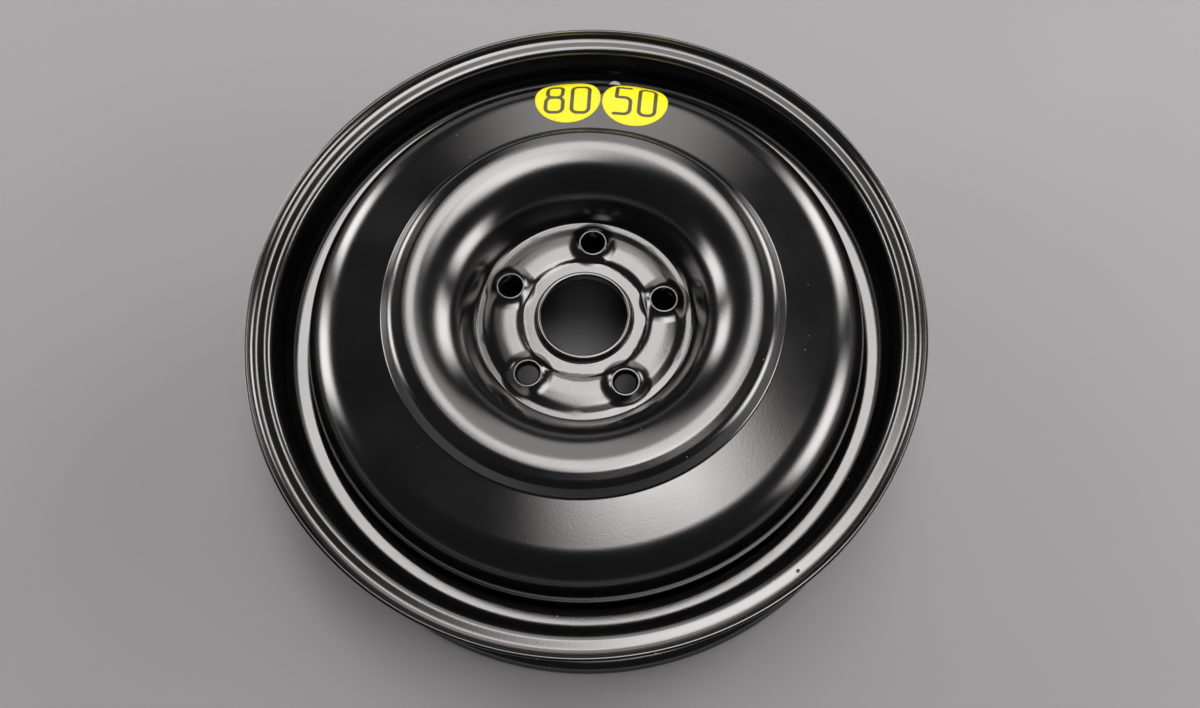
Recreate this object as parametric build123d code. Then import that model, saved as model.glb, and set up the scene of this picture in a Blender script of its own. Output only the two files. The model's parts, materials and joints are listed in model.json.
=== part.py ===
# Space saver spare wheel: a rolled drop-centre steel rim, a pressed centre disc welded into its well,
# and two round number stickers on the disc's crown.
# The wheel axis is +Z, the street side is up, and the inner lip stands on Z = 0.
# The valve hole and one lug seat lie towards +Y. Lengths are in millimetres, angles in degrees.

import os
from math import asin, cos, degrees, hypot, radians, sin, tan

from build123d import *

# Rim contour, measured on the tyre side
rim_width = 101.6
bead_seat_radius = 218.3
bead_seat_taper = 5.0
bead_seat_length = 19.0
flange_height = 14.4
lip_width = 7.9
lip_curl_angle = 75.0
lip_straight = 0.3
rim_wall = 2.4
heel_bend = 3.0
hump_height = 1.2
hump_length = 9.0
hump_bend = 4.0
well_depth = 21.1
well_shoulder_drop = 3.5
street_shoulder_run = 9.7
inner_shoulder_run = 4.2
well_street_slope = 10.0
well_inner_slope = 26.0
sheet_edge_bend = 0.8

# Bends of the well walls, as shares of a wall's height
street_shoulder_share = 0.715
inner_shoulder_share = 0.455
well_floor_share = 0.34

# Valve hole through the well's street wall, and the dot punched in the street flange
valve_hole_radius = 5.65
valve_angle = 90.0
valve_tilt = 26.0
valve_inset = 5.7
valve_drill_length = 19.2
punch_dot_angle = 313.0
punch_dot_ball = 1.8
punch_dot_depth = 0.6
punch_dot_inset = 9.3

# Disc: offset of the hub face from the rim's middle, towards the street
wheel_offset = 35.0
disc_wall = 3.6
bore_radius = 30.05
collar_wall = 3.2
collar_height = 6.4
collar_bend = 2.0
collar_edge_bend = 1.2
inner_pad_width = 9.95
outer_pad_reach = 13.55
hub_ring_width = 4.8
relief_height = 1.8
relief_edge_height = 1.1
relief_run = 2.6
relief_foot_bend = 2.0
relief_bend = 7.0
relief_crest_bend = 70.0
bowl_wall_angle = 65.0
bowl_foot_bend = 1.6
bowl_bend = 40.0
ridge_height = 40.3
ridge_flat = 0.2
ridge_brow_angle = 15.0
ridge_brow_bend = 8.0
ridge_brow_run = 4.5
ridge_bend = 10.0
ridge_fall = 9.9
ridge_fall_angle = 48.0
crown_bend = 2.5
crown_slope = 9.0
shoulder_bend = 34.0
skirt_end = -6.0
skirt_fit_gap = 0.05
inner_bend_least = 0.5

# Lug seats, raised as trumpet-shaped bosses with a flared hole
lug_count = 5
lug_circle_radius = 57.15
lug_hole_radius = 7.25
lug_mouth_radius = 8.9
lug_seat_angle = 60.0
lug_rim_radius = 9.7
lug_rim_bend = 0.4
lug_flank_angle = 60.0
lug_flare_bend = 8.0
lug_flare_sink = 0.1
lug_height = 4.8
lug_pocket_mouth = 13.5
lug_pocket_top = 9.6
lug_pocket_depth = 3.0

# Fillet welds between the skirt's edge and the well
weld_count = 4
weld_leg = 3.6
weld_arc_angle = 50.0
weld_first_angle = 45.0
weld_gap = 0.02

# Stickers on the crown
sticker_radius = 24.3
sticker_inset = 28.75
sticker_thickness = 0.2
sticker_gap = 0.02
sticker_spacing = 1.2
sticker_pair_angle = 91.6

# Levels and radii that follow from the sizes above
rim_middle = rim_width / 2 + lip_width
hub_face = rim_middle + wheel_offset
pad_face = hub_face + disc_wall
lug_top = pad_face + lug_height
ridge_top = pad_face + ridge_height
well_radius = bead_seat_radius - well_depth
well_bore_radius = well_radius - rim_wall
skirt_radius = well_bore_radius - skirt_fit_gap
skirt_edge = rim_middle + skirt_end
hub_pad_radius = lug_circle_radius + outer_pad_reach + hub_ring_width
sticker_circle_radius = skirt_radius - sticker_inset
sticker_half_angle = degrees(asin((sticker_radius + sticker_spacing / 2) / sticker_circle_radius))


def offset_line(points, walls):
    """The polyline moved to its right by each run's wall, with mitred corners."""
    runs = []
    for (x0, z0), (x1, z1), wall in zip(points, points[1:], walls):
        length = hypot(x1 - x0, z1 - z0)
        along = ((x1 - x0) / length, (z1 - z0) / length)
        shift = (along[1] * wall, -along[0] * wall)
        runs.append((along, (x0 + shift[0], z0 + shift[1]), (x1 + shift[0], z1 + shift[1])))
    moved = [runs[0][1]]
    for (along, start, _), (next_along, next_start, _) in zip(runs, runs[1:]):
        turn = along[0] * next_along[1] - along[1] * next_along[0]
        gap = (next_start[0] - start[0], next_start[1] - start[1])
        reach = (gap[0] * next_along[1] - gap[1] * next_along[0]) / turn
        moved.append((start[0] + along[0] * reach, start[1] + along[1] * reach))
    moved.append(runs[-1][2])
    return moved


def sheet_section(points, bends, walls, start_bends, end_bends):
    """Closed section of a bent sheet, from its face line (r, z) and the wall behind each run.

    bends are the face line's radii, and the back takes concentric ones. start_bends and end_bends
    round the face and back corners of the sheet's two cut edges.
    """
    back = offset_line(points, walls)
    back_bends = []
    for i, bend in enumerate(bends):
        (x0, z0), (x1, z1), (x2, z2) = points[i:i + 3]
        turns_left = (x1 - x0) * (z2 - z1) - (z1 - z0) * (x2 - x1) > 0
        wall = max(walls[i], walls[i + 1])
        back_bends.append(bend + wall if turns_left else max(bend - wall, inner_bend_least))
    radii = [start_bends[0], *bends, *end_bends, *reversed(back_bends), start_bends[1]]
    outline = FilletPolyline(*points, *reversed(back), radius=radii, close=True)
    return Plane.XZ * make_face(outline)


def turn_about_axis(section):
    return revolve(section, Axis.Z)


def around(shape, angle):
    return Rot(0, 0, angle) * shape


def rim_side(side, shoulder_run, slope):
    """Tyre-side points of one half of the rim, from the lip edge to the corner of the well floor."""
    face = rim_width / 2
    lip_end, _ = lip_sizes()
    lip_foot = bead_seat_radius + flange_height - lip_end / tan(radians(lip_curl_angle))
    seat_end_radius = bead_seat_radius - bead_seat_length * tan(radians(bead_seat_taper))
    seat_end = face - bead_seat_length
    hump = seat_end - hump_length / 2
    shoulder_radius = bead_seat_radius - well_shoulder_drop
    shoulder = hump - shoulder_run
    floor_edge = shoulder - (shoulder_radius - well_radius) * tan(radians(slope))
    points = [
        (bead_seat_radius + flange_height, face + lip_end),
        (lip_foot, face),
        (bead_seat_radius, face),
        (seat_end_radius, seat_end),
        (seat_end_radius + hump_height, hump),
        (shoulder_radius, shoulder),
        (well_radius, floor_edge),
    ]
    return [(r, rim_middle + side * z) for r, z in points]


def lip_sizes():
    """Axial reach of the lip's tyre-side corner, and the bend that takes up the lip but for a short straight."""
    curl = radians(lip_curl_angle)
    edge_rise = (rim_wall - sheet_edge_bend) * cos(curl) + sheet_edge_bend * (1 - sin(curl))
    lip_end = lip_width - edge_rise
    bend = (lip_end / sin(curl) - sheet_edge_bend - lip_straight) / tan(curl / 2)
    return lip_end, bend


def make_rim():
    street = rim_side(1, street_shoulder_run, well_street_slope)
    inner = rim_side(-1, inner_shoulder_run, well_inner_slope)
    points = [*street, *reversed(inner)]
    _, lip_bend = lip_sizes()
    wall_height = well_depth - well_shoulder_drop
    flange_bends = [lip_bend, heel_bend, hump_bend, hump_bend]
    bends = [
        *flange_bends,
        wall_height * street_shoulder_share,
        wall_height * well_floor_share,
        wall_height * well_floor_share,
        wall_height * inner_shoulder_share,
        *reversed(flange_bends),
    ]
    walls = [rim_wall for _ in points[1:]]
    edges = (sheet_edge_bend, sheet_edge_bend)
    rim = turn_about_axis(sheet_section(points, bends, walls, edges, edges))

    # The valve hole is drilled close inside the shoulder, leaning in from the well's street wall
    (shoulder_radius, shoulder), (floor_radius, floor_edge) = street[-2:]
    share = valve_inset / hypot(shoulder_radius - floor_radius, shoulder - floor_edge)
    seat_radius = shoulder_radius + (floor_radius - shoulder_radius) * share
    seat_level = shoulder + (floor_edge - shoulder) * share
    tilt = radians(valve_tilt)
    seat = Plane(origin=(seat_radius, 0, seat_level), z_dir=(-sin(tilt), 0, cos(tilt)))
    rim -= around(seat * Cylinder(valve_hole_radius, valve_drill_length), valve_angle)

    dot_radius = bead_seat_radius + flange_height - punch_dot_inset
    dot_level = rim_middle + rim_width / 2 + rim_wall + punch_dot_ball - punch_dot_depth
    return rim - around(Pos(dot_radius, 0, dot_level) * Sphere(punch_dot_ball), punch_dot_angle)


def ridge_line():
    """Street-side corners of the ridge: where the bowl's wall would meet it, its brow, its edge and its foot."""
    wall = radians(bowl_wall_angle)
    lean = radians(ridge_brow_angle)
    fall = radians(ridge_fall_angle)
    brow_cut = ridge_brow_bend * tan(lean / 2)
    brow_length = brow_cut + ridge_brow_run + ridge_bend * tan((fall - lean) / 2)
    brow_drop = brow_length * sin(lean)
    bowl_edge = hub_pad_radius + ridge_height / tan(wall)
    brow = bowl_edge + bowl_bend * tan(wall / 2) + ridge_flat + brow_cut
    edge = brow + brow_length * cos(lean)
    foot = edge + (ridge_fall - brow_drop) / tan(fall)
    return [(bowl_edge, ridge_top), (brow, ridge_top), (edge, ridge_top - brow_drop), (foot, ridge_top - ridge_fall)]


def crown_line():
    """Street-side corners of the crown and skirt, from the foot of the ridge to the skirt's edge."""
    foot_radius, foot_level = ridge_line()[-1]
    drop = (skirt_radius - foot_radius) * tan(radians(crown_slope))
    return [(foot_radius, foot_level), (skirt_radius, foot_level - drop), (skirt_radius, skirt_edge)]


def make_disc():
    collar_radius = bore_radius + collar_wall
    inner_pad_radius = collar_radius + inner_pad_width
    outer_pad_radius = lug_circle_radius + outer_pad_reach
    relief_edge = pad_face + relief_edge_height
    points = [
        (collar_radius, pad_face + collar_height),
        (collar_radius, pad_face),
        (inner_pad_radius, pad_face),
        (inner_pad_radius + relief_run, relief_edge),
        ((inner_pad_radius + outer_pad_radius) / 2, pad_face + relief_height),
        (outer_pad_radius - relief_run, relief_edge),
        (outer_pad_radius, pad_face),
        (hub_pad_radius, pad_face),
        *ridge_line()[:-1],
        *crown_line(),
    ]
    bends = [
        collar_bend,
        relief_foot_bend,
        relief_bend,
        relief_crest_bend,
        relief_bend,
        relief_foot_bend,
        bowl_foot_bend,
        bowl_bend,
        ridge_brow_bend,
        ridge_bend,
        crown_bend,
        shoulder_bend,
    ]
    walls = [collar_wall, *[disc_wall for _ in points[2:]]]
    collar_edge = (collar_edge_bend, collar_edge_bend)
    skirt_edges = (inner_bend_least, inner_bend_least)
    disc = turn_about_axis(sheet_section(points, bends, walls, collar_edge, skirt_edges))

    for i in range(lug_count):
        place = Rot(0, 0, valve_angle + i * 360 / lug_count) * Pos(lug_circle_radius, 0, 0)
        disc += place * lug_boss()
        disc -= place * lug_hollow()
    return disc


def lug_boss():
    """One raised lug seat: a steep flank under its rim that flares out until it sinks into the pad."""
    root = pad_face - disc_wall / 2
    flare_level = pad_face - lug_flare_sink
    flank = radians(lug_flank_angle)
    neck_radius = lug_rim_radius + (lug_top - flare_level) / tan(flank)
    foot_radius = neck_radius + lug_flare_bend * tan(flank / 2) + lug_flare_sink
    points = [
        (0, root),
        (foot_radius, root),
        (foot_radius, flare_level),
        (neck_radius, flare_level),
        (lug_rim_radius, lug_top),
        (0, lug_top),
    ]
    outline = FilletPolyline(*points, radius=[0, 0, 0, lug_flare_bend, lug_rim_bend, 0], close=True)
    return turn_about_axis(Plane.XZ * make_face(outline))


def lug_hollow():
    """Everything open in one lug seat: the flared mouth, the stud hole and the pocket behind it."""
    seat_depth = (lug_mouth_radius - lug_hole_radius) / tan(radians(lug_seat_angle / 2))
    clear = disc_wall
    flare = tan(radians(lug_seat_angle / 2))
    points = [
        (0, hub_face - clear),
        (lug_pocket_mouth, hub_face - clear),
        (lug_pocket_mouth, hub_face),
        (lug_pocket_top, hub_face + lug_pocket_depth),
        (lug_hole_radius, hub_face + lug_pocket_depth),
        (lug_hole_radius, lug_top - seat_depth),
        (lug_mouth_radius + clear * flare, lug_top + clear),
        (0, lug_top + clear),
    ]
    return turn_about_axis(Plane.XZ * make_face(Polyline(*points, close=True)))


def make_welds():
    """Triangular beads in the corner between the skirt's edge and the well."""
    outer = well_bore_radius - weld_gap
    top = skirt_edge - weld_gap
    corners = [(outer, top), (outer - weld_leg, top), (outer, top - weld_leg)]
    section = Plane.XZ * make_face(Polyline(*corners, close=True))
    bead = revolve(section, Axis.Z, revolution_arc=weld_arc_angle)
    angles = [weld_first_angle - weld_arc_angle / 2 + i * 360 / weld_count for i in range(weld_count)]
    return Compound(children=[around(bead, angle) for angle in angles])


def make_sticker(angle):
    """A round disc of film that lies on the crown and wraps over its shoulder."""
    lift = sticker_gap + sticker_thickness
    line = crown_line()
    face = offset_line(line, [-lift for _ in line[1:]])
    walls = [sticker_thickness for _ in line[1:]]
    flat = (0, 0)
    film = turn_about_axis(sheet_section(face, [shoulder_bend + lift], walls, flat, flat))
    slope = radians(crown_slope)
    foot_radius, foot_level = line[0]
    level = foot_level - (sticker_circle_radius - foot_radius) * tan(slope)
    centre = Plane(origin=(sticker_circle_radius, 0, level), z_dir=(sin(slope), 0, cos(slope)))
    punch = centre * Cylinder(sticker_radius, 2 * sticker_radius)
    return film & around(punch, angle)


os.makedirs("parts", exist_ok=True)
nodes = {
    "rim": make_rim(),
    "disc": make_disc(),
    "disc_welds": make_welds(),
    "sticker_80": make_sticker(sticker_pair_angle + sticker_half_angle),
    "sticker_50": make_sticker(sticker_pair_angle - sticker_half_angle),
}
for name, shape in nodes.items():
    export_step(shape, f"parts/{name}.step")
    print(name, round(shape.volume), shape.bounding_box().size)
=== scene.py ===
# Space saver spare wheel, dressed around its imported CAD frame.
# Sizes are in millimetres until a piece becomes a mesh, and angles in degrees. Materials work in metres.
import json
import math

import bmesh
import bpy
import numpy as np
from mathutils import Matrix, Vector


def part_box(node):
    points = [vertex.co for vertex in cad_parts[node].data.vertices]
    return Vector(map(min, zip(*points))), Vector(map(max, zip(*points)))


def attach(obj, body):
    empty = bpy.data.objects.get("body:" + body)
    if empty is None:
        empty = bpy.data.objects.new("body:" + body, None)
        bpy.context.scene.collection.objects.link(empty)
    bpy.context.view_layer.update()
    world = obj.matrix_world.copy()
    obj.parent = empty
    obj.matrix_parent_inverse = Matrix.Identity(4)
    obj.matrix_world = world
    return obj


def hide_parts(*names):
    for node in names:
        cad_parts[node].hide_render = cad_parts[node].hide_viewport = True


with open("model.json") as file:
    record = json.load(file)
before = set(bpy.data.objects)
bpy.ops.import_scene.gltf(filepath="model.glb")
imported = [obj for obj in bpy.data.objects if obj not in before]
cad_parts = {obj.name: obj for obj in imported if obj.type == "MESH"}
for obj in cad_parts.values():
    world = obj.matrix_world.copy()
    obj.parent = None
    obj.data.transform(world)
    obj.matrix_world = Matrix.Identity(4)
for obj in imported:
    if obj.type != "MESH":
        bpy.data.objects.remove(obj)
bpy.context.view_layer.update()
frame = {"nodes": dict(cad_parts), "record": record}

mounts = {mount["name"]: mount for mount in frame["record"]["mounts"]}
toMetres = 0.001
mergeDistance = 4e-6  # metres
print("frame loaded with nodes", sorted(frame["nodes"]))


# Stops along a straight run: both ends, a point close to each end so that flats shade flat,
# and even steps between. A run under the least length is a single point.
def runStops(start, end, step=5.0, guard=0.25, least=0.02):
    length = end - start
    if length < 3 * guard:
        return np.array([start, end]) if length > least else np.array([(start + end) / 2])
    inner = np.linspace(start + guard, end - guard, 2 + int(length / step))
    return np.concatenate([[start], inner, [end]])


# A line of straight runs whose inner corners are arcs of the given bends.
# Each point comes with its side, the unit vector to the right of the way the line goes.
def bentLine(corners, bends, turnStep=7.0, arcStep=1.7):
    corners = np.array(corners, float)
    runs = np.diff(corners, axis=0)
    lengths = np.hypot(runs[:, 0], runs[:, 1])
    along = runs / lengths[:, None]
    right = np.column_stack([along[:, 1], -along[:, 0]])
    cross = along[:-1, 0] * along[1:, 1] - along[:-1, 1] * along[1:, 0]
    turns = np.arctan2(cross, (along[:-1] * along[1:]).sum(1))
    cuts = np.concatenate([[0], np.abs(np.tan(turns / 2)) * np.array(bends, float), [0]])
    points, sides = [], []
    for i, run in enumerate(along):
        stops = runStops(cuts[i], lengths[i] - cuts[i + 1])
        points.append(corners[i] + run * stops[:, None])
        sides.append(np.tile(right[i], (len(stops), 1)))
        if i == len(turns):
            break
        byTurn = math.ceil(abs(math.degrees(turns[i])) / turnStep)
        byLength = math.ceil(abs(turns[i]) * bends[i] / arcStep)
        count = max(2, byTurn, byLength)
        angle = turns[i] * np.arange(1, count) / count
        lean = np.column_stack([
            right[i, 0] * np.cos(angle) - right[i, 1] * np.sin(angle),
            right[i, 0] * np.sin(angle) + right[i, 1] * np.cos(angle),
        ])
        reach = bends[i] * np.sign(turns[i])
        centre = corners[i + 1] - run * cuts[i + 1] - right[i] * reach
        points.append(centre + lean * reach)
        sides.append(lean)
    return np.concatenate(points), np.concatenate(sides)


# The cut edge of a sheet, from its face to its back: a quarter arc, the flat of the edge, and a quarter arc
def cutEdge(end, outward, side, wall, bend, steps=4):
    angle = np.radians(np.linspace(0, 90, steps + 1))[:, None]
    foot = end - outward * bend
    first = foot + side * bend - side * bend * np.cos(angle) + outward * bend * np.sin(angle)
    last = foot + side * (wall - bend) + outward * bend * np.cos(angle) + side * bend * np.sin(angle)
    return np.concatenate([first[1:], last[:-1]])


# A line turned about the wheel's axis: the points at each angle are (r cos a, r sin a, z)
def turned(line, degreesRound):
    angle = np.radians(degreesRound)
    ring = line[:, 0][:, None]
    level = np.broadcast_to(line[:, 1][:, None], (len(line), len(angle)))
    return np.stack([ring * np.cos(angle), ring * np.sin(angle), level], -1)


# Points made around the plane of +Y, turned about the axis to stand at another angle
def turnedTo(points, degreesRound):
    angle = math.radians(degreesRound - 90)
    x, y, z = points[..., 0], points[..., 1], points[..., 2]
    turnedX = x * math.cos(angle) - y * math.sin(angle)
    turnedY = x * math.sin(angle) + y * math.cos(angle)
    return np.stack([turnedX, turnedY, z], -1)


# Faces of a grid of points; a closed direction joins its last points to its first
def gridFaces(rows, columns, closeRows=False, closeColumns=False):
    index = np.arange(rows * columns).reshape(rows, columns)
    index = np.vstack([index, index[:1]]) if closeRows else index
    index = np.hstack([index, index[:, :1]]) if closeColumns else index
    return np.stack([index[:-1, :-1], index[1:, :-1], index[1:, 1:], index[:-1, 1:]], -1)


# A grid of rings, as its points and the faces between them
def ringShell(points):
    rows, columns = points.shape[:2]
    return points.reshape(-1, 3), gridFaces(rows, columns, closeColumns=True).reshape(-1, 4)


# Where lines square to a slanted plane meet a turned surface. The plane holds the point (radius, level) and
# the unit vector slope. across is sideways in that plane, climb is up the slope.
def landOn(line, plane, across, climb):
    (radius, level), slope = plane
    reach = np.sqrt(line[:, 0] ** 2 - across[..., None] ** 2)
    height = (reach - radius) * slope[0] + (line[:, 1] - level) * slope[1]
    index = np.clip((height < climb[..., None]).sum(-1) - 1, 0, len(line) - 2)[..., None]
    pick = lambda values, shift: np.take_along_axis(values, index + shift, -1)[..., 0]
    share = (climb - pick(height, 0)) / (pick(height, 1) - pick(height, 0))
    y = pick(reach, 0) + share * (pick(reach, 1) - pick(reach, 0))
    levels = np.broadcast_to(line[:, 1], reach.shape)
    z = pick(levels, 0) + share * (pick(levels, 1) - pick(levels, 0))
    return np.stack([across, y, z], -1)


# Joins shells into one closed mesh, whose faces then point outwards, and puts it on the wheel
def makePiece(name, shells, material, node, sharpFrom=42.0):
    starts = np.cumsum([0] + [len(points) for points, _ in shells])
    points = np.concatenate([points for points, _ in shells]) * toMetres
    faces = np.concatenate([faces + start for (_, faces), start in zip(shells, starts)])
    mesh = bpy.data.meshes.new(name)
    mesh.from_pydata(points.tolist(), [], faces.tolist())
    work = bmesh.new()
    work.from_mesh(mesh)
    bmesh.ops.remove_doubles(work, verts=work.verts, dist=mergeDistance)
    bmesh.ops.recalc_face_normals(work, faces=work.faces)
    work.to_mesh(mesh)
    work.free()
    mesh.polygons.foreach_set("use_smooth", np.ones(len(mesh.polygons), bool))
    mesh.set_sharp_from_angle(angle=math.radians(sharpFrom))
    mesh.materials.append(material)
    piece = bpy.data.objects.new(name, mesh)
    bpy.context.scene.collection.objects.link(piece)
    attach(piece, "root")
    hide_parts(node)
    print(name, "built with", sum(len(face.vertices) - 2 for face in mesh.polygons), "triangles")
    return piece


# Adds a node and fills its inputs: another node's output is linked, anything else is a plain value
def addNode(tree, kind, inputs=None, **settings):
    node = tree.nodes.new(kind)
    for key, value in settings.items():
        setattr(node, key, value)
    for key, value in (inputs or {}).items():
        if isinstance(value, bpy.types.NodeSocket):
            tree.links.new(value, node.inputs[key])
        else:
            node.inputs[key].default_value = value
    return node


# Noise from a tuple of scale, detail and roughness
def noiseNode(tree, place, noise):
    scale, detail, roughness = noise
    inputs = {"Vector": place, "Scale": scale, "Detail": detail, "Roughness": roughness}
    return addNode(tree, "ShaderNodeTexNoise", inputs).outputs["Fac"]


# A sum, product or test of numbers and other nodes' outputs
def mathNode(tree, operation, *values):
    return addNode(tree, "ShaderNodeMath", dict(enumerate(values)), operation=operation).outputs[0]


# Carries a value from one pair of ends to another
def rangeNode(tree, value, ends, newEnds, **settings):
    inputs = dict(enumerate([value, *ends, *newEnds]))
    return addNode(tree, "ShaderNodeMapRange", inputs, **settings).outputs[0]


# Lays one colour over another by a share; the numbers are the node's sockets for colours
def mixNode(tree, share, under, over, **settings):
    inputs = {0: share, 6: under, 7: over}
    return addNode(tree, "ShaderNodeMix", inputs, data_type="RGBA", **settings).outputs[2]


# A colour that goes from the first to the last of two as a value passes between two places
def rampNode(tree, value, places, colours):
    ramp = addNode(tree, "ShaderNodeValToRGB", {"Fac": value})
    for element, place, colour in zip(ramp.color_ramp.elements, places, colours):
        element.position = place
        element.color = (*colour, 1)
    return ramp.outputs["Color"]


# A material with its node tree, its shader and the piece's own coordinates
def newMaterial(name):
    material = bpy.data.materials.new(name)
    material.use_nodes = True
    tree = material.node_tree
    place = addNode(tree, "ShaderNodeTexCoord").outputs["Object"]
    return material, tree, tree.nodes["Principled BSDF"], place


# Black wheel paint: a soft cloudy tone, fine orange peel, dust specks, and chips along the lips' cut edges.
# Each noise is its scale, detail and roughness.
wheelPaint = {
    "dark": (0.002, 0.002, 0.0021),
    "light": (0.0048, 0.0047, 0.0046),
    "cloud": (16.0, 5.0, 0.6),
    "toneEnds": (0.32, 0.7),
    "roughness": (0.14, 0.2),
    "roughnessEnds": (0.3, 0.72),
    "ior": 1.97,
    "peel": (620.0, 2.0, 0.5),
    "peelStrength": 0.06,
    "peelDepth": 0.0004,
    "dust": (0.3, 0.29, 0.275),
    "dustRoughness": 0.35,
    "speckScale": 95.0,
    "speckSize": 0.035,
    "patches": (90.0, 2.0, 0.5),
    "patchLevel": 0.55,
    "chip": (0.34, 0.31, 0.28),
    "flakes": (150.0, 4.0, 0.62),
    "flakeEnds": (0.83, 0.86),
    "chipReach": 0.0012,
    "chipLift": 0.2,
}


def makeWheelPaint(paint, lipRadius):
    material, tree, shader, place = newMaterial("wheelPaint")
    cloud = noiseNode(tree, place, paint["cloud"])
    tone = rampNode(tree, cloud, paint["toneEnds"], (paint["dark"], paint["light"]))

    # dust specks: the middles of small cells, kept only where a broad noise is high
    cells = addNode(tree, "ShaderNodeTexVoronoi", {"Vector": place, "Scale": paint["speckScale"], "Randomness": 1.0})
    speck = mathNode(tree, "LESS_THAN", cells.outputs["Distance"], paint["speckSize"])
    kept = mathNode(tree, "GREATER_THAN", noiseNode(tree, place, paint["patches"]), paint["patchLevel"])
    dusty = mathNode(tree, "MULTIPLY", speck, kept)
    dusted = mixNode(tree, dusty, tone, (*paint["dust"], 1))

    # chips: close to the lip radius a coarse noise breaks the paint in a few spots
    flat = addNode(tree, "ShaderNodeVectorMath", {0: place, 1: (1, 1, 0)}, operation="MULTIPLY").outputs[0]
    radius = addNode(tree, "ShaderNodeVectorMath", {0: flat}, operation="LENGTH").outputs["Value"]
    edge = rangeNode(tree, radius, (lipRadius - paint["chipReach"], lipRadius), (0.0, paint["chipLift"]))
    raised = mathNode(tree, "ADD", noiseNode(tree, place, paint["flakes"]), edge)
    chipped = rangeNode(tree, raised, paint["flakeEnds"], (0.0, 1.0))
    worn = mixNode(tree, chipped, dusted, (*paint["chip"], 1))
    tree.links.new(worn, shader.inputs["Base Color"])

    matte = rangeNode(tree, cloud, paint["roughnessEnds"], paint["roughness"])
    dull = mathNode(tree, "MULTIPLY_ADD", dusty, paint["dustRoughness"], matte)
    tree.links.new(dull, shader.inputs["Roughness"])

    peel = noiseNode(tree, place, paint["peel"])
    bump = {"Height": peel, "Strength": paint["peelStrength"], "Distance": paint["peelDepth"]}
    relief = addNode(tree, "ShaderNodeBump", bump)
    tree.links.new(relief.outputs["Normal"], shader.inputs["Normal"])
    shader.inputs["IOR"].default_value = paint["ior"]
    return material


rimLow, rimHigh = [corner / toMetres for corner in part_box("rim")]
discLow, discHigh = [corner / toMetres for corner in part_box("disc")]
wheelSurface = makeWheelPaint(wheelPaint, rimHigh.x * toMetres)
print("wheel paint mixed")

# Rim: the sheet's tyre side from the street lip over the flange, seat, hump and well to the inner lip
rimSheet = {
    "wall": 2.4,
    "width": 101.6,
    "seatRadius": 218.3,
    "seatTaper": 5.0,
    "seatLength": 19.0,
    "flangeHeight": 14.4,
    "lipAngle": 75.0,
    "lipStraight": 0.3,
    "edgeBend": 0.8,
    "heelBend": 3.0,
    "humpHeight": 1.2,
    "humpLength": 9.0,
    "humpBend": 4.0,
    "wellDepth": 21.1,
    "shoulderDrop": 3.5,
    "streetRun": 9.7,
    "innerRun": 4.2,
    "streetSlope": 10.0,
    "innerSlope": 26.0,
    "streetBendShare": 0.715,
    "innerBendShare": 0.455,
    "floorBendShare": 0.34,
    "segments": 288,
}
valveHole = {"window": 10.5, "halfColumns": 3, "rings": 9, "wallRows": 4, "edgeRows": 3, "edgeBend": 0.35}
punchDot = {
    "angle": 313.0,
    "ball": 1.8,
    "depth": 0.6,
    "inset": 9.3,
    "window": 3.4,
    "rings": 6,
    "dentShares": (0.93, 0.75, 0.5, 0.25, 0.0),
}
valve = mounts["valve_hole"]
valveAngle = math.degrees(math.atan2(*valve["pos_m"][1::-1]))


# Corners of one half of the rim's tyre side, as (radius, distance from the middle), and the bend of its lip
def rimHalf(rim, lipWidth, shoulderRun, slope):
    face = rim["width"] / 2
    curl = math.radians(rim["lipAngle"])
    edgeRise = (rim["wall"] - rim["edgeBend"]) * math.cos(curl) + rim["edgeBend"] * (1 - math.sin(curl))
    lipEnd = lipWidth - edgeRise
    lipBend = (lipEnd / math.sin(curl) - rim["edgeBend"] - rim["lipStraight"]) / math.tan(curl / 2)
    lipRadius = rim["seatRadius"] + rim["flangeHeight"]
    seatEnd = face - rim["seatLength"]
    seatEndRadius = rim["seatRadius"] - rim["seatLength"] * math.tan(math.radians(rim["seatTaper"]))
    hump = seatEnd - rim["humpLength"] / 2
    shoulder = hump - shoulderRun
    wellHeight = rim["wellDepth"] - rim["shoulderDrop"]
    corners = [
        (lipRadius, face + lipEnd),
        (lipRadius - lipEnd / math.tan(curl), face),
        (rim["seatRadius"], face),
        (seatEndRadius, seatEnd),
        (seatEndRadius + rim["humpHeight"], hump),
        (rim["seatRadius"] - rim["shoulderDrop"], shoulder),
        (rim["seatRadius"] - rim["wellDepth"], shoulder - wellHeight * math.tan(math.radians(slope))),
    ]
    return np.array(corners), lipBend


# A window in a turned sheet: the grid's faces inside it go, and rings of points lead from the window's edge
# to a round hole. Each ring lies on the sheet, between the window's outline and the hole's circle, which may
# stand a shift to the side of the window's middle. The rings crowd towards the hole.
def windowRings(rows, plane, halfColumns, columnStep, holeRadius, ringCount,
                directions=None, shift=0.0, crowding=1.4):
    (radius, level), slope = plane
    swing = np.radians(np.arange(-halfColumns, halfColumns + 1) * columnStep)
    side = np.arange(len(rows))
    columns = np.arange(len(swing))
    rowIndex = np.concatenate([
        np.zeros(len(columns) - 1, int), side[:-1], np.full(len(columns) - 1, side[-1]), side[:0:-1],
    ])
    columnIndex = np.concatenate([
        columns[:-1], np.full(len(side) - 1, columns[-1]), columns[:0:-1], np.zeros(len(side) - 1, int),
    ])
    across = rows[rowIndex, 0] * np.sin(swing[columnIndex])
    reach = rows[rowIndex, 0] * np.cos(swing[columnIndex])
    climb = (reach - radius) * slope[0] + (rows[rowIndex, 1] - level) * slope[1]
    heading = np.arctan2(climb, across - shift) if directions is None else directions
    share = np.linspace(0, 1, ringCount)[:, None] ** crowding
    acrossRings = (shift + holeRadius * np.cos(heading)) * (1 - share) + across * share
    climbRings = holeRadius * np.sin(heading) * (1 - share) + climb * share
    return landOn(rows, plane, acrossRings, climbRings), heading


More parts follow.
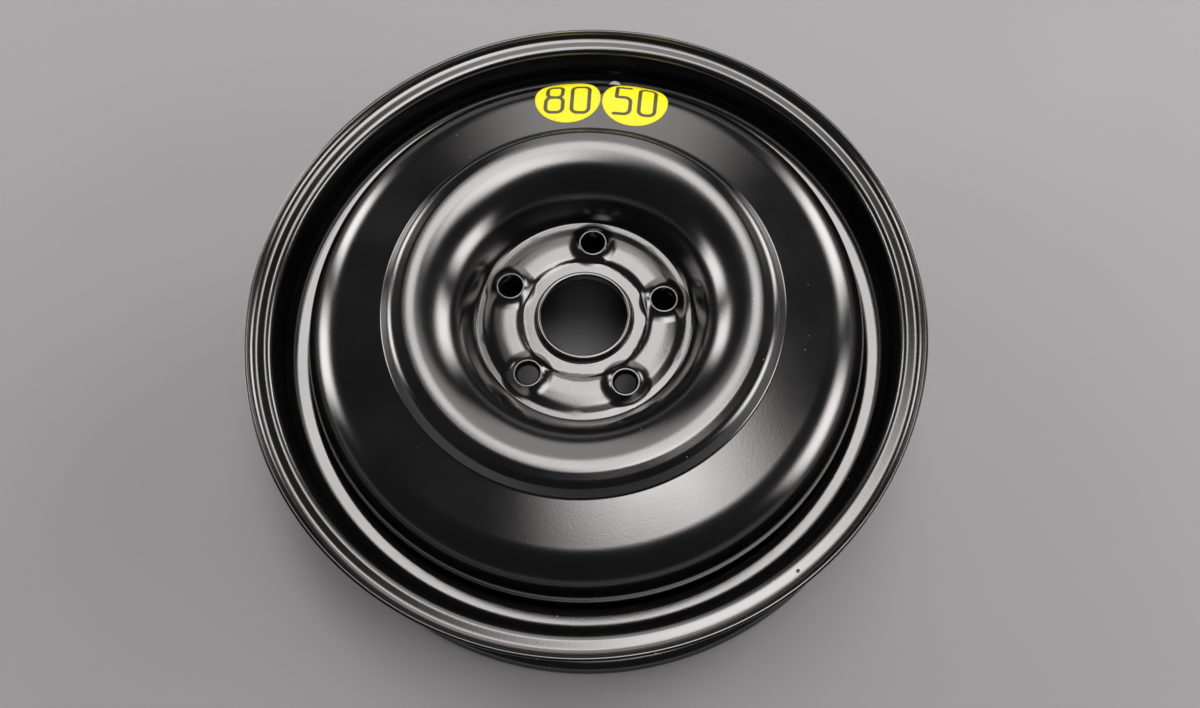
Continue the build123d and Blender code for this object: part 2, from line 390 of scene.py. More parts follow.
# Rows of a line, ordered up the slope, that lie within a distance of the plane's middle
def rowsNear(line, plane, within):
    middle, slope = plane
    height = (line - middle) @ slope
    depth = (line - middle) @ (slope[1], -slope[0])
    near = np.flatnonzero((np.abs(height) < within) & (np.abs(depth) < within))
    return near if height[near[-1]] > height[near[0]] else near[::-1]


# The sheet's closed section turned about the axis, less two windows that the hole's and the dot's rings fill
def makeRim(rim):
    middle = (rimLow.z + rimHigh.z) / 2
    lipWidth = (rimHigh.z - rimLow.z - rim["width"]) / 2
    street, lipBend = rimHalf(rim, lipWidth, rim["streetRun"], rim["streetSlope"])
    inner, _ = rimHalf(rim, lipWidth, rim["innerRun"], rim["innerSlope"])
    corners = np.concatenate([street + (0, middle), (inner * (1, -1) + (0, middle))[::-1]])
    wellHeight = rim["wellDepth"] - rim["shoulderDrop"]
    flangeBends = [lipBend, rim["heelBend"], rim["humpBend"], rim["humpBend"]]
    wellBends = [rim[part + "BendShare"] * wellHeight for part in ("street", "floor", "floor", "inner")]
    bends = flangeBends + wellBends + flangeBends[::-1]

    first = (corners[0] - corners[1]) / np.linalg.norm(corners[0] - corners[1])
    last = (corners[-1] - corners[-2]) / np.linalg.norm(corners[-1] - corners[-2])
    trimmed = corners.copy()
    trimmed[0] -= first * rim["edgeBend"]
    trimmed[-1] -= last * rim["edgeBend"]
    face, sides = bentLine(trimmed, bends)
    back = face + sides * rim["wall"]
    innerEdge = cutEdge(corners[-1], last, sides[-1], rim["wall"], rim["edgeBend"])
    streetEdge = cutEdge(corners[0], first, sides[0], rim["wall"], rim["edgeBend"])
    loop = np.concatenate([face, innerEdge, back[::-1], streetEdge[::-1]])
    backEnd = len(face) + len(innerEdge) + len(back) - 1
    count = rim["segments"]
    columnStep = 360 / count
    grid = turned(loop, valveAngle + np.arange(count) * columnStep)
    keep = np.ones((len(loop), count), bool)
    faces = gridFaces(len(loop), count, True, True)
    shells = []

    # the valve hole leans in through the well's street wall, close to its shoulder
    valvePoint = np.array(valve["pos_m"][1:]) / toMetres
    slope = np.array([-valve["axis"][2], valve["axis"][1]])
    plane = (valvePoint, slope)
    bend = valveHole["edgeBend"]
    bare = valve["dims"]["r_mm"] + bend
    columns = np.arange(-valveHole["halfColumns"], valveHole["halfColumns"])
    backRows = rowsNear(back, plane, valveHole["window"])
    options = (plane, valveHole["halfColumns"], columnStep, bare, valveHole["rings"])
    backRings, heading = windowRings(back[backRows], *options)
    faceRings, _ = windowRings(face[backRows], *options, directions=heading)
    inward = np.array([0, valve["axis"][1], valve["axis"][2]])
    ring = np.stack([np.cos(heading), slope[0] * np.sin(heading), slope[1] * np.sin(heading)], -1)
    lean = np.radians(np.linspace(0, 90, valveHole["edgeRows"] + 1))[1:, None, None]
    backLip = backRings[0] - ring * bend * np.sin(lean) + inward * bend * (1 - np.cos(lean))
    faceLip = faceRings[0] - ring * bend * np.sin(lean) - inward * bend * (1 - np.cos(lean))
    share = np.linspace(0, 1, valveHole["wallRows"] + 2)[1:-1, None, None]
    wallRows = backLip[-1] * (1 - share) + faceLip[-1] * share
    hole = np.concatenate([backRings[::-1], backLip, wallRows, faceLip[::-1], faceRings])
    shells.append(ringShell(turnedTo(hole, valveAngle)))
    for rows in (np.sort(backRows), np.sort(backEnd - backRows)):
        keep[np.ix_(rows[:-1], columns % count)] = False

    # the dot is a ball's dent in the street flange
    dotRadius = rim["seatRadius"] + rim["flangeHeight"] - punchDot["inset"]
    dotColumn = round((punchDot["angle"] - valveAngle) / columnStep)
    dotAngle = valveAngle + dotColumn * columnStep
    flangeTop = middle + rim["width"] / 2 + rim["wall"]
    dotPlane = (np.array([dotRadius, flangeTop]), np.array([1.0, 0.0]))
    dotRows = rowsNear(back, dotPlane, punchDot["window"])
    ballLift = punchDot["ball"] - punchDot["depth"]
    mouth = math.sqrt(punchDot["ball"] ** 2 - ballLift ** 2)
    aside = -dotRadius * math.sin(math.radians(punchDot["angle"] - dotAngle))
    options = (dotPlane, 1, columnStep, mouth, punchDot["rings"])
    rings, heading = windowRings(back[dotRows], *options, shift=aside)
    dent = mouth * np.array(punchDot["dentShares"])[:, None]
    dentLevel = flangeTop + ballLift - np.sqrt(punchDot["ball"] ** 2 - dent ** 2) + 0 * heading
    dentRings = np.stack([aside + dent * np.cos(heading), dotRadius + dent * np.sin(heading), dentLevel], -1)
    shells.append(ringShell(turnedTo(np.concatenate([rings[::-1], dentRings]), dotAngle)))
    dotLoop = np.sort(backEnd - dotRows)
    keep[np.ix_(dotLoop[:-1], (dotColumn + np.arange(-1, 1)) % count)] = False

    shells.append((grid.reshape(-1, 3), faces[keep]))
    makePiece("rimRing", shells, wheelSurface, "rim")


makeRim(rimSheet)

# Disc: a sheet with the turned-up bore, the pad and its raised band, the bowl, ridge, crown and skirt
discSheet = {
    "wall": 3.6,
    "collarWall": 3.2,
    "collarHeight": 6.4,
    "collarBend": 2.0,
    "collarEdge": 1.2,
    "innerPad": 9.95,
    "outerPadReach": 13.55,
    "hubRing": 4.8,
    "reliefHeight": 2.2,
    "reliefEdge": 1.85,
    "reliefRun": 3.4,
    "reliefFall": 6.2,
    "reliefFoot": 2.0,
    "reliefBend": 7.0,
    "reliefBrow": 13.0,
    "reliefCrest": 70.0,
    "bowlAngle": 65.0,
    "bowlFoot": 1.6,
    "bowlBend": 40.0,
    "ridgeFlat": 0.2,
    "browAngle": 15.0,
    "browBend": 8.0,
    "browRun": 4.5,
    "ridgeBend": 10.0,
    "ridgeFall": 9.9,
    "ridgeFallAngle": 48.0,
    "crownBend": 2.5,
    "crownSlope": 9.0,
    "shoulderBend": 34.0,
    "edgeBend": 0.5,
    "arcSegments": 40,
    "sideSegments": 18,
    "innerSeam": 4.7,
    "outerSeam": 1.05,
}
# each seat rises out of the raised band like a trumpet's mouth; the rings on the back are measured from
# the pocket's mouth and from its top
lugSeat = {
    "mouth": 8.9,
    "seatAngle": 60.0,
    "rimRadius": 9.7,
    "height": 4.8,
    "flankAngle": 60.0,
    "flareBend": 10.5,
    "flareTrim": 0.55,
    "ringGap": 0.1,
    "throatBend": 0.25,
    "mouthBend": 0.35,
    "rimBend": 0.4,
    "pocketMouth": 13.5,
    "pocketTop": 9.6,
    "pocketDepth": 3.0,
    "pocketBlend": 0.5,
    "mouthRings": (1.7, 0.5, 0.0, -0.7, -2.3, -3.3),
    "topRings": (0.0, -0.6, -2.0),
    "outerRows": 18,
    "backRows": 9,
}

boreRadius = mounts["hub_bore"]["dims"]["r_mm"]
lugCircle = mounts["lug_holes"]["dims"]["pcd_mm"] / 2
lugHole = mounts["lug_holes"]["dims"]["hole_r_mm"]
lugCount = mounts["lug_holes"]["dims"]["count"]
hubFace = mounts["hub_pad"]["pos_m"][2] / toMetres
padFace = hubFace + discSheet["wall"]
hubPadRadius = lugCircle + discSheet["outerPadReach"] + discSheet["hubRing"]


# Street-side corners of the bowl, ridge, crown and skirt
def streetCorners(disc):
    wall = math.radians(disc["bowlAngle"])
    lean = math.radians(disc["browAngle"])
    fall = math.radians(disc["ridgeFallAngle"])
    ridgeTop = discHigh.z
    skirtRadius = discHigh.x
    browCut = disc["browBend"] * math.tan(lean / 2)
    browLength = browCut + disc["browRun"] + disc["ridgeBend"] * math.tan((fall - lean) / 2)
    browDrop = browLength * math.sin(lean)
    bowlEdge = hubPadRadius + (ridgeTop - padFace) / math.tan(wall)
    browRadius = bowlEdge + disc["bowlBend"] * math.tan(wall / 2) + disc["ridgeFlat"] + browCut
    ridgeEdge = browRadius + browLength * math.cos(lean)
    footRadius = ridgeEdge + (disc["ridgeFall"] - browDrop) / math.tan(fall)
    footLevel = ridgeTop - disc["ridgeFall"]
    shoulderLevel = footLevel - (skirtRadius - footRadius) * math.tan(math.radians(disc["crownSlope"]))
    return [
        (hubPadRadius, padFace),
        (bowlEdge, ridgeTop),
        (browRadius, ridgeTop),
        (ridgeEdge, ridgeTop - browDrop),
        (footRadius, footLevel),
        (skirtRadius, shoulderLevel),
        (skirtRadius, discLow.z),
    ]


# The greater of two heights, with a fillet of the given size where they cross
def blendMax(one, other, size):
    near = np.clip(1 - np.abs(one - other) / size, 0, None)
    return np.maximum(one, other) + near ** 2 * size / 4


# One lug's fifth of the pad: rings from its outline on the back, in to the pocket and the hole,
# up the hole, over the seat's rim, down its trumpet flank and out to the outline on the street side
def lugSector(disc, lug, padLine, backLine, innerRadius, outerRadius):
    half = 180 / lugCount
    arc = np.radians(np.linspace(-half, half, disc["arcSegments"] + 1))
    side = np.linspace(outerRadius, innerRadius, disc["sideSegments"] + 1)
    outline = np.concatenate([
        np.column_stack([outerRadius * np.cos(arc), outerRadius * np.sin(arc)])[:-1],
        np.column_stack([side * math.cos(arc[-1]), side * math.sin(arc[-1])])[:-1],
        np.column_stack([innerRadius * np.cos(arc), innerRadius * np.sin(arc)])[:0:-1],
        np.column_stack([side * math.cos(arc[0]), side * math.sin(arc[0])])[:0:-1],
    ])
    ray = outline - (lugCircle, 0)
    reach = np.hypot(ray[:, 0], ray[:, 1])
    heading = ray / reach[:, None]
    lugTop = padFace + lug["height"]
    pocketTop = hubFace + lug["pocketDepth"]
    throat = lugTop - (lug["mouth"] - lugHole) / math.tan(math.radians(lug["seatAngle"] / 2))
    flank = math.radians(lug["flankAngle"])
    neck = lug["rimRadius"] + lug["height"] / math.tan(flank)
    foot = neck + lug["flareBend"] * math.tan(flank / 2)
    ringEdge = foot - lug["flareTrim"]

    # rings about the lug's axis, then rows spread out to the outline
    spread = np.linspace(0, 1, lug["outerRows"] + 1)[:, None]
    backSpread = np.linspace(1, 0, lug["backRows"] + 1)[:-1, None]
    boss, _ = bentLine(
        [(lugHole, pocketTop), (lugHole, throat), (lug["mouth"], lugTop), (lug["rimRadius"], lugTop),
         (neck, padFace), (foot + lug["flareTrim"], padFace)],
        [lug["throatBend"], lug["mouthBend"], lug["rimBend"], lug["flareBend"]], turnStep=10, arcStep=0.9,
    )
    crest = np.flatnonzero(boss[:, 0] > lug["rimRadius"])[0]
    trumpet = boss[crest:][boss[crest:, 0] < ringEdge - lug["ringGap"]]
    pocket = np.concatenate([
        lug["pocketMouth"] + np.array(lug["mouthRings"]), lug["pocketTop"] + np.array(lug["topRings"]),
    ])
    backReach = np.concatenate([ringEdge + (reach - ringEdge) * backSpread, pocket[:, None] + 0 * reach])
    wallReach = boss[:crest, 0][:, None] + 0 * reach
    flankReach = np.concatenate([trumpet[:, 0][:, None] + 0 * reach, ringEdge + (reach - ringEdge) * spread])

    # points at a distance out from the lug's axis, and the height of a turned line below them
    place = lambda out: np.array([lugCircle, 0]) + heading * out[..., None]
    under = lambda out, line: np.interp(np.hypot(*np.moveaxis(place(out), -1, 0)), line[:, 0], line[:, 1])
    pocketRun = (lug["pocketMouth"] - backReach) / (lug["pocketMouth"] - lug["pocketTop"])
    pocketLevel = hubFace + lug["pocketDepth"] * np.minimum(pocketRun, 1)
    backLevel = np.minimum(blendMax(under(backReach, backLine), pocketLevel, lug["pocketBlend"]), pocketTop)
    wallLevel = boss[:crest, 1][:, None] + 0 * reach
    # the trumpet's share of the seat's height, from the rim's whole to nothing, lifts the band to the seat
    share = (np.interp(flankReach, boss[crest:, 0], boss[crest:, 1]) - padFace) / lug["height"]
    band = under(flankReach, padLine)
    flankLevel = band + (lugTop - band) * share
    flat = np.concatenate([place(backReach), place(wallReach), place(flankReach)])
    level = np.concatenate([backLevel, wallLevel, flankLevel])
    return np.concatenate([flat, level[..., None]], -1)


# The sheet's section turned about the axis from the bowl to the skirt and round the bore; five sectors between
def makeDisc(disc, lug):
    collarRadius = boreRadius + disc["collarWall"]
    innerPad = collarRadius + disc["innerPad"]
    outerPad = lugCircle + disc["outerPadReach"]
    innerSeam = innerPad - disc["innerSeam"]
    outerSeam = hubPadRadius - disc["outerSeam"]
    bandEdge = padFace + disc["reliefEdge"]
    count = lugCount * disc["arcSegments"]
    turns = np.arange(count) * 360 / count + valveAngle - 180 / lugCount

    # the pad between the seams: flat rings at both edges, and a raised, softly crested band for the lug seats
    padBends = [disc["relief" + part] for part in ("Foot", "Bend", "Crest", "Brow", "Foot")]
    padLine, padSides = bentLine(
        [(innerSeam, padFace), (innerPad, padFace), (innerPad + disc["reliefRun"], bandEdge),
         ((innerPad + outerPad) / 2, padFace + disc["reliefHeight"]),
         (outerPad - disc["reliefFall"], bandEdge), (outerPad, padFace), (outerSeam, padFace)],
        padBends, arcStep=0.5,
    )
    backLine = padLine + padSides * disc["wall"]

    # the bowl, ridge, crown and skirt
    corners = streetCorners(disc)
    bends = [disc["bowlFoot"]] + [disc[part + "Bend"] for part in ("bowl", "brow", "ridge", "crown", "shoulder")]
    edge = np.array([0.0, -1.0])
    trimmed = [(outerSeam, padFace), *corners[:-1], np.array(corners[-1]) - edge * disc["edgeBend"]]
    face, sides = bentLine(trimmed, bends)
    skirtEdge = cutEdge(np.array(corners[-1]), edge, sides[-1], disc["wall"], disc["edgeBend"])
    outer = np.concatenate([face, skirtEdge, (face + sides * disc["wall"])[::-1]])
    shells = [ringShell(turned(outer, turns))]

    # the collar turned up round the bore, whose wall is a little thinner than the pad's
    collarTop = np.array([collarRadius, padFace + disc["collarHeight"]])
    up = np.array([0.0, 1.0])
    bore, boreSides = bentLine(
        [collarTop - up * disc["collarEdge"], (collarRadius, padFace), (innerSeam, padFace)],
        [disc["collarBend"]], arcStep=0.5,
    )
    thickness = disc["collarWall"] + (disc["wall"] - disc["collarWall"]) * np.abs(boreSides[:, 1:])
    collarEdge = cutEdge(collarTop, up, boreSides[0], disc["collarWall"], disc["collarEdge"])
    collar = np.concatenate([bore[::-1], collarEdge, bore + boreSides * thickness])
    shells.append(ringShell(turned(collar, turns)))

    # one lug stands in line with the valve hole
    sector = lugSector(disc, lug, padLine, backLine, innerSeam, outerSeam)
    for i in range(lugCount):
        shells.append(ringShell(turnedTo(sector, valveAngle + 90 + i * 360 / lugCount)))
    makePiece("centreDisc", shells, wheelSurface, "disc")


makeDisc(discSheet, lugSeat)

# Weld beads behind the disc: a fillet with a rippled, bulging face that tapers to both ends
weldBead = {
    "leg": 3.6,
    "arc": 50.0,
    "first": 45.0,
    "count": 4,
    "ripple": 0.22,
    "ripplePitch": 2.6,
    "taper": 6.0,
    "taperLeast": 0.02,
    "bow": 0.62,
    "bowMiddle": 0.05,
    "bowShare": 0.8,
    "rows": 260,
    "faceRows": 9,
    "gap": 0.02,
}


# The leg grows from both ends as the root of a sine along the bead, and small sine ripples are taken off it
def makeWelds(weld):
    outer = rimSheet["seatRadius"] - rimSheet["wellDepth"] - rimSheet["wall"] - weld["gap"]
    top = discLow.z - weld["gap"]
    run = np.linspace(0, 1, weld["rows"])[:, None]
    taper = np.sqrt(np.clip(np.sin(run * math.pi) * weld["taper"], weld["taperLeast"], 1))
    length = math.radians(weld["arc"]) * outer
    wave = weld["ripple"] * np.abs(np.sin(run * length / weld["ripplePitch"] * math.pi))
    size = (weld["leg"] - wave) * taper
    # the face bows from the skirt's edge to the well, a little fuller than the straight fillet
    swing = np.radians(np.linspace(0, 90, weld["faceRows"]))
    bow = weld["bowShare"] / (weld["bow"] + weld["bowMiddle"] * np.sin(2 * swing))
    corner = np.zeros((len(run), 1))
    ring = outer - np.concatenate([corner, size * np.cos(swing) ** bow], 1)
    level = top - np.concatenate([corner, size * np.sin(swing) ** bow], 1)
    shells = []
    for i in range(weld["count"]):
        angle = np.radians(weld["first"] + i * 360 / weld["count"] + weld["arc"] * (run - 0.5))
        bead = np.stack([ring * np.cos(angle), ring * np.sin(angle), level], -1)
        ends = np.broadcast_to(bead[[0, -1], :1], bead[[0, -1]].shape)
        shells.append(ringShell(np.concatenate([ends[:1], bead, ends[1:]])))
    makePiece("skirtWelds", shells, wheelSurface, "disc_welds")


makeWelds(weldBead)

# Stickers: a round film that follows the crown, with a printed number kept as distance to the pen's line
stickerFilm = {
    "radius": 24.3,
    "inset": 28.75,
    "spacing": 1.2,
    "pairAngle": 91.6,
    "gap": 0.02,
    "thickness": 0.2,
    "rings": 55,
    "spokes": 200,
    "sharpFrom": 60.0,
}
# the waists are shares of a digit's height, the tops and the stem shares of its half width
numberPrint = {
    "digitGap": 6.6,
    "stroke": 2.8,
    "softEdge": 0.12,
    "corner": 4.5,
    "penStep": 0.12,
    "batches": 24,
    "eightWaist": 0.04,
    "eightTop": 0.88,
    "eightTopBend": 0.9,
    "fiveWaist": 0.07,
    "fiveTop": 0.86,
    "fiveStem": 0.84,
    "fiveBends": (0.4, 0.6),
}
# each number's digit width and height, its lift over the sticker's middle, and its turn from upright
numbers = {"80": (12.6, 27.4, -0.5, -6.5), "50": (11.6, 28.8, 1.1, 7.5)}


# Points at even steps along a closed or open pen line of straight runs and rounded corners
def penLine(corners, bends):
    points, _ = bentLine(corners, bends, turnStep=4, arcStep=0.2)
    runs = np.hypot(*np.diff(points, axis=0).T)
    place = np.concatenate([[0], np.cumsum(runs)])
    even = np.arange(0, place[-1], numberPrint["penStep"])
    return np.column_stack([np.interp(even, place, points[:, i]) for i in range(2)])


# A closed pen line round a box, from the middle of its lower side
def roundedBox(left, right, low, high, bend):
    middle = (left + right) / 2
    corners = [(middle, low), (right, low), (right, high), (left, high), (left, low), (middle, low)]
    return penLine(corners, [bend] * 4)


# Pen lines of one digit, centred, from its width and height
def digitLines(digit, width, height, pen):
    x = width / 2
    y = height / 2
    bend = pen["corner"]
    if digit == "0":
        return [roundedBox(-x, x, -y, y, bend)]
    if digit == "8":
        waist = pen["eightWaist"] * height
        top = pen["eightTop"] * x
        return [roundedBox(-top, top, waist, y, bend * pen["eightTopBend"]), roundedBox(-x, x, -y, waist, bend)]
    waist = pen["fiveWaist"] * height
    stem = -pen["fiveStem"] * x
    corners = [(pen["fiveTop"] * x, y), (stem, y), (stem, waist), (x, waist), (x, -y), (-x, -y)]
    return [penLine(corners, [*pen["fiveBends"], bend, bend])]


# Rings and spokes of a flat disc dropped square to its plane on the crown, as both faces of the film
def makeSticker(node, digits, angle, material):
    film = stickerFilm
    corners = streetCorners(discSheet)[-3:]
    circle = discHigh.x - film["inset"]
    lean = math.radians(discSheet["crownSlope"])
    footRadius, footLevel = corners[0]
    top = np.array([circle, footLevel - (circle - footRadius) * math.tan(lean)])
    # the sticker's own plane, in which the crown's line climbs towards the skirt
    slope = np.array([math.cos(lean), -math.sin(lean)])
    crown, sides = bentLine(corners, [discSheet["shoulderBend"]], arcStep=0.8)
    rings = np.linspace(0, 1, film["rings"])[:, None] * film["radius"]
    spoke = np.linspace(0, 2 * math.pi, film["spokes"], endpoint=False)
    across, climb = rings * np.cos(spoke), rings * np.sin(spoke)
    upper = landOn(crown - sides * (film["gap"] + film["thickness"]), (top, slope), across, climb)
    lower = landOn(crown - sides * film["gap"], (top, slope), across, climb)
    shells = [ringShell(turnedTo(np.concatenate([upper, lower[::-1]]), angle))]
    piece = makePiece(node + "Film", shells, material, node, sharpFrom=film["sharpFrom"])

    # distance of each point from the number's pen lines, in the sticker's plane
    points = np.empty(len(piece.data.vertices) * 3)
    piece.data.vertices.foreach_get("co", points)
    local = turnedTo(points.reshape(-1, 3) / toMetres, 180 - angle)
    climb = (local[:, 1:] - top) @ slope
    digitWidth, digitHeight, lift, turn = numbers[digits]
    swing = math.radians(turn)
    x = local[:, 0] * math.cos(swing) + climb * math.sin(swing)
    y = climb * math.cos(swing) - local[:, 0] * math.sin(swing) - lift
    pitch = (digitWidth + numberPrint["digitGap"]) / 2
    pen = np.concatenate([
        line + (place, 0) for digit, place in zip(digits, (-pitch, pitch))
        for line in digitLines(digit, digitWidth, digitHeight, numberPrint)
    ])
    batches = [np.array_split(values, numberPrint["batches"]) for values in (x, y)]
    away = np.concatenate([
        np.hypot(px[:, None] - pen[:, 0], py[:, None] - pen[:, 1]).min(1) for px, py in zip(*batches)
    ])
    ink = piece.data.attributes.new("penDistance", "FLOAT", "POINT")
    ink.data.foreach_set("value", away)
    edge = piece.data.attributes.new("edgeDistance", "FLOAT", "POINT")
    edge.data.foreach_set("value", film["radius"] - np.hypot(local[:, 0], climb))


# Yellow film: a faintly mottled gloss yellow, with olive print where the pen passed and a dull rim
filmFinish = {
    "yellow": (0.9, 0.83, 0.004),
    "shade": (0.83, 0.76, 0.005),
    "mottle": (130.0, 3.0, 0.5),
    "toneEnds": (0.3, 0.62),
    "print": (0.075, 0.07, 0.02),
    "rimWidth": 0.7,
    "rimShade": 0.55,
    "roughness": (0.26, 0.4),
    "roughnessEnds": (0.3, 0.7),
}


def makeFilmFinish(finish):
    material, tree, shader, place = newMaterial("stickerFilm")
    mottle = noiseNode(tree, place, finish["mottle"])
    tone = rampNode(tree, mottle, finish["toneEnds"], (finish["shade"], finish["yellow"]))

    pen = addNode(tree, "ShaderNodeAttribute", attribute_name="penDistance").outputs["Fac"]
    half = numberPrint["stroke"] / 2
    soft = numberPrint["softEdge"]
    inked = rangeNode(tree, pen, (half - soft, half + soft), (1.0, 0.0))
    printed = mixNode(tree, inked, tone, (*finish["print"], 1))

    rim = addNode(tree, "ShaderNodeAttribute", attribute_name="edgeDistance").outputs["Fac"]
    worn = rangeNode(tree, rim, (0.0, finish["rimWidth"]), (finish["rimShade"], 1.0))
    edged = mixNode(tree, 1.0, printed, worn, blend_type="MULTIPLY")
    tree.links.new(edged, shader.inputs["Base Color"])

    gloss = rangeNode(tree, mottle, finish["roughnessEnds"], finish["roughness"])
    tree.links.new(gloss, shader.inputs["Roughness"])
    return material


filmSurface = makeFilmFinish(filmFinish)
stickerCircle = discHigh.x - stickerFilm["inset"]
stickerHalf = math.degrees(math.asin((stickerFilm["radius"] + stickerFilm["spacing"] / 2) / stickerCircle))
makeSticker("sticker_80", "80", stickerFilm["pairAngle"] + stickerHalf, filmSurface)
makeSticker("sticker_50", "50", stickerFilm["pairAngle"] - stickerHalf, filmSurface)

# Studio: a pale floor, a soft box overhead with a strip behind it, and tall soft lamps round the wheel.
# The backdrop is pale up to the first of two height angles and dim above the second.
studio = {
    "floor": (0.335, 0.337, 0.349),
    "floorReach": 2.4,
    "floorRoughness": 0.75,
    "grain": (3.0, 4.0, 0.5),
    "grainEnds": (0.3, 0.7),
    "grainShade": 0.96,
    "world": (0.045, 0.045, 0.047),
    "backdrop": (0.42, 0.42, 0.432),
    "backdropEdge": (5.0, 9.0),
    "lamp": (1.0, 0.955, 0.935),
    "distance": 3.0,
    "panelStep": 0.1,
    "turn": 12.3,
}
# flat panels overhead: angles from straight up to their left, right, front and back edges, radiance,
# and how softly they end across and along
ceilingPanels = {
    "overheadBox": (-4.0, 20.0, -11.0, 15.0, 7.2, 0.8, 0.45),
    "overheadStrip": (-6.0, 9.0, 15.0, 30.0, 5.6, 0.45, 0.4),
}
# panels that face the wheel: angles round it to their two edges, height angles of both edges, radiance,
# and how softly they end across and along
sideLamps = {
    "rightFrontLamp": (-30.0, 0.0, 8.0, 31.0, 7.4, 0.6, 0.6),
    "rightBackLamp": (19.0, 45.0, 6.0, 31.0, 7.4, 0.6, 0.6),
    "leftBackLamp": (125.0, 141.0, 6.0, 28.0, 7.4, 0.6, 0.6),
    "leftLamp": (151.0, 173.0, 4.0, 27.0, 7.4, 0.6, 0.6),
    "backPanel": (64.0, 102.0, 22.0, 62.0, 1.7, 0.5, 0.25),
}


# A rectangular area light whose power is pi times its area times the brightness it shows. Its edges fade out:
# it is half as bright at the given size, and the fade reaches the soft share of that size to both sides.
def softPanel(name, width, tall, radiance, softness, colour):
    light = bpy.data.lights.new(name, "AREA")
    light.shape = "RECTANGLE"
    light.size = width * (1 + softness[0])
    light.size_y = tall * (1 + softness[1])
    light.color = colour
    light.energy = math.pi * light.size * light.size_y * radiance
    light.use_nodes = True
    tree = light.node_tree
    spot = addNode(tree, "ShaderNodeNewGeometry").outputs["Parametric"]
    place = addNode(tree, "ShaderNodeSeparateXYZ", {0: spot})
    fades = []
    for share, soft in zip(place.outputs, softness):
        away = mathNode(tree, "ABSOLUTE", mathNode(tree, "SUBTRACT", share, 0.5))
        ends = (0.5, 0.5 * (1 - soft) / (1 + soft))
        fades.append(rangeNode(tree, away, ends, (0.0, 1.0), interpolation_type="SMOOTHSTEP"))
    tree.links.new(mathNode(tree, "MULTIPLY", *fades), tree.nodes["Emission"].inputs["Strength"])
    lamp = bpy.data.objects.new(name, light)
    lamp.visible_camera = False
    bpy.context.scene.collection.objects.link(lamp)
    return lamp


# A square of pale paper with a faint grain
def makeFloor(settings):
    reach = settings["floorReach"]
    corners = [(-reach, -reach, 0), (reach, -reach, 0), (reach, reach, 0), (-reach, reach, 0)]
    mesh = bpy.data.meshes.new("floor")
    mesh.from_pydata(corners, [], [(0, 1, 2, 3)])
    floor = bpy.data.objects.new("floor", mesh)
    bpy.context.scene.collection.objects.link(floor)
    material, tree, shader, place = newMaterial("floorPaper")
    grain = noiseNode(tree, place, settings["grain"])
    shade = [settings["grainShade"] * part for part in settings["floor"]]
    tone = rampNode(tree, grain, settings["grainEnds"], (shade, settings["floor"]))
    tree.links.new(tone, shader.inputs["Base Color"])
    shader.inputs["Roughness"].default_value = settings["floorRoughness"]
    mesh.materials.append(material)


# The world's colour by height angle, the same for every ray, so the paint mirrors what the camera sees
def makeBackdrop(settings):
    world = bpy.data.worlds.new("studioWorld")
    world.use_nodes = True
    tree = world.node_tree
    heading = addNode(tree, "ShaderNodeTexCoord").outputs["Generated"]
    height = addNode(tree, "ShaderNodeSeparateXYZ", {0: heading}).outputs["Z"]
    ends = [math.sin(math.radians(angle)) for angle in settings["backdropEdge"]]
    pale = rangeNode(tree, height, ends, (1.0, 0.0))
    walls = mixNode(tree, pale, (*settings["world"], 1), (*settings["backdrop"], 1))
    tree.links.new(walls, tree.nodes["Background"].inputs["Color"])
    bpy.context.scene.world = world


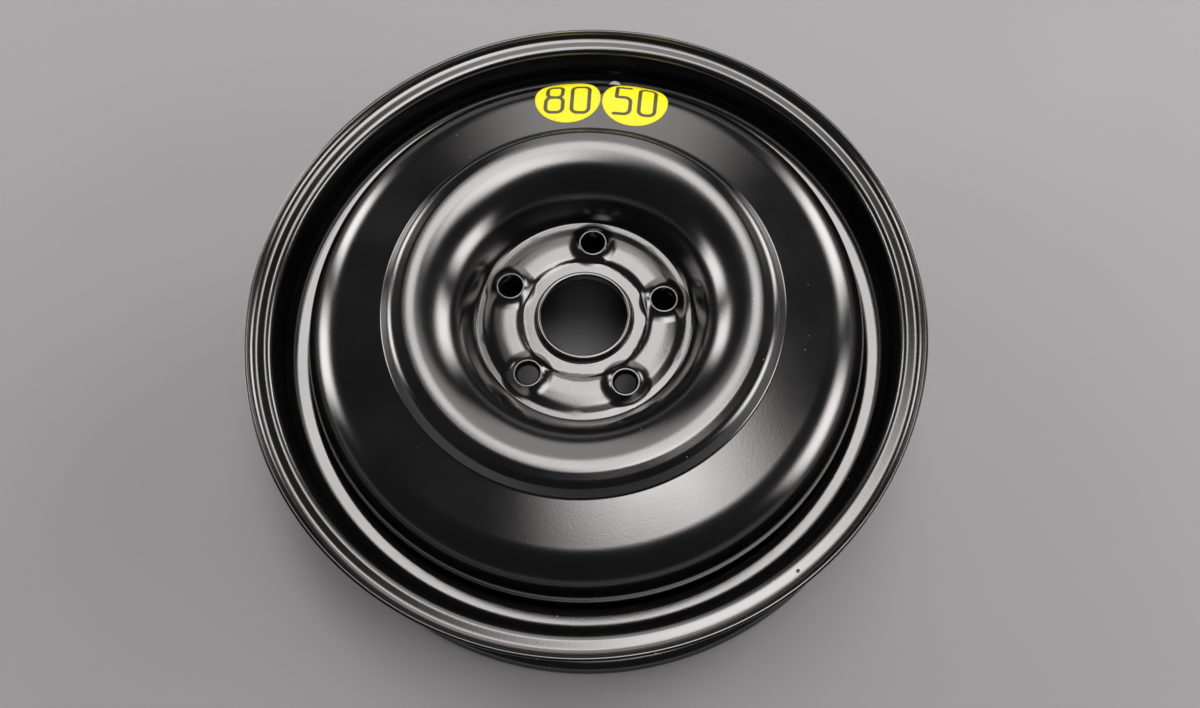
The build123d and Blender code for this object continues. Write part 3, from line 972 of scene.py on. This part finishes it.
# A panel spans its angles as seen from the middle of the street lip, and the whole set is turned to the view
def makeLamps(settings):
    distance = settings["distance"]
    middle = Vector((0, 0, rimHigh.z * toMetres))
    spin = Matrix.Rotation(math.radians(settings["turn"]), 4, "Z")
    # panels whose soft edges overlap hang at two heights, so that both of them show there
    for i, (name, (*edges, radiance, across, along)) in enumerate(ceilingPanels.items()):
        height = distance + i * settings["panelStep"]
        left, right, front, back = [height * math.tan(math.radians(angle)) for angle in edges]
        lamp = softPanel(name, right - left, back - front, radiance, (across, along), settings["lamp"])
        centre = middle + Vector(((left + right) / 2, (front + back) / 2, height))
        lamp.matrix_world = spin @ Matrix.Translation(centre)
    for name, (start, end, low, high, radiance, across, along) in sideLamps.items():
        around = math.radians((start + end) / 2)
        lift = math.radians((low + high) / 2)
        width = 2 * distance * math.cos(lift) * math.tan(math.radians(end - start) / 2)
        tall = 2 * distance * math.tan(math.radians(high - low) / 2)
        lamp = softPanel(name, width, tall, radiance, (across, along), settings["lamp"])
        away = Vector((math.cos(lift) * math.cos(around), math.cos(lift) * math.sin(around), math.sin(lift)))
        facing = away.to_track_quat("Z", "Y").to_matrix().to_4x4()
        lamp.matrix_world = spin @ Matrix.Translation(middle + away * distance) @ facing


makeFloor(studio)
makeBackdrop(studio)
makeLamps(studio)
print("studio lit")

# Camera: above the front of the wheel, a little right of its middle and rolled
cameraPlace = {
    "azimuth": -77.7,
    "elevation": 66.37,
    "distance": 695.4,
    "aim": (14.25, -27.84),
    "roll": -4.69,
    "lens": 29.895,
    "sensor": 36.0,
    "clipStart": 0.01,
}


# The eye stands at its angles and distance from the wheel's axis at the height of the lug seats
def makeCamera(settings):
    lugTop = padFace + lugSeat["height"]
    around = math.radians(settings["azimuth"])
    lift = math.radians(settings["elevation"])
    flat = settings["distance"] * math.cos(lift)
    height = lugTop + settings["distance"] * math.sin(lift)
    eye = Vector((flat * math.cos(around), flat * math.sin(around), height))
    aim = Vector((*settings["aim"], lugTop))
    camera = bpy.data.objects.new("camera", bpy.data.cameras.new("camera"))
    camera.data.lens = settings["lens"]
    camera.data.sensor_width = settings["sensor"]
    camera.data.sensor_fit = "HORIZONTAL"
    camera.data.clip_start = settings["clipStart"]
    look = (aim - eye).to_track_quat("-Z", "Y").to_matrix().to_4x4()
    roll = Matrix.Rotation(math.radians(settings["roll"]), 4, "Z")
    camera.matrix_world = Matrix.Translation(eye * toMetres) @ look @ roll
    bpy.context.scene.collection.objects.link(camera)
    bpy.context.scene.camera = camera


makeCamera(cameraPlace)
print("camera placed")
bpy.context.scene.view_settings.view_transform = "Standard"
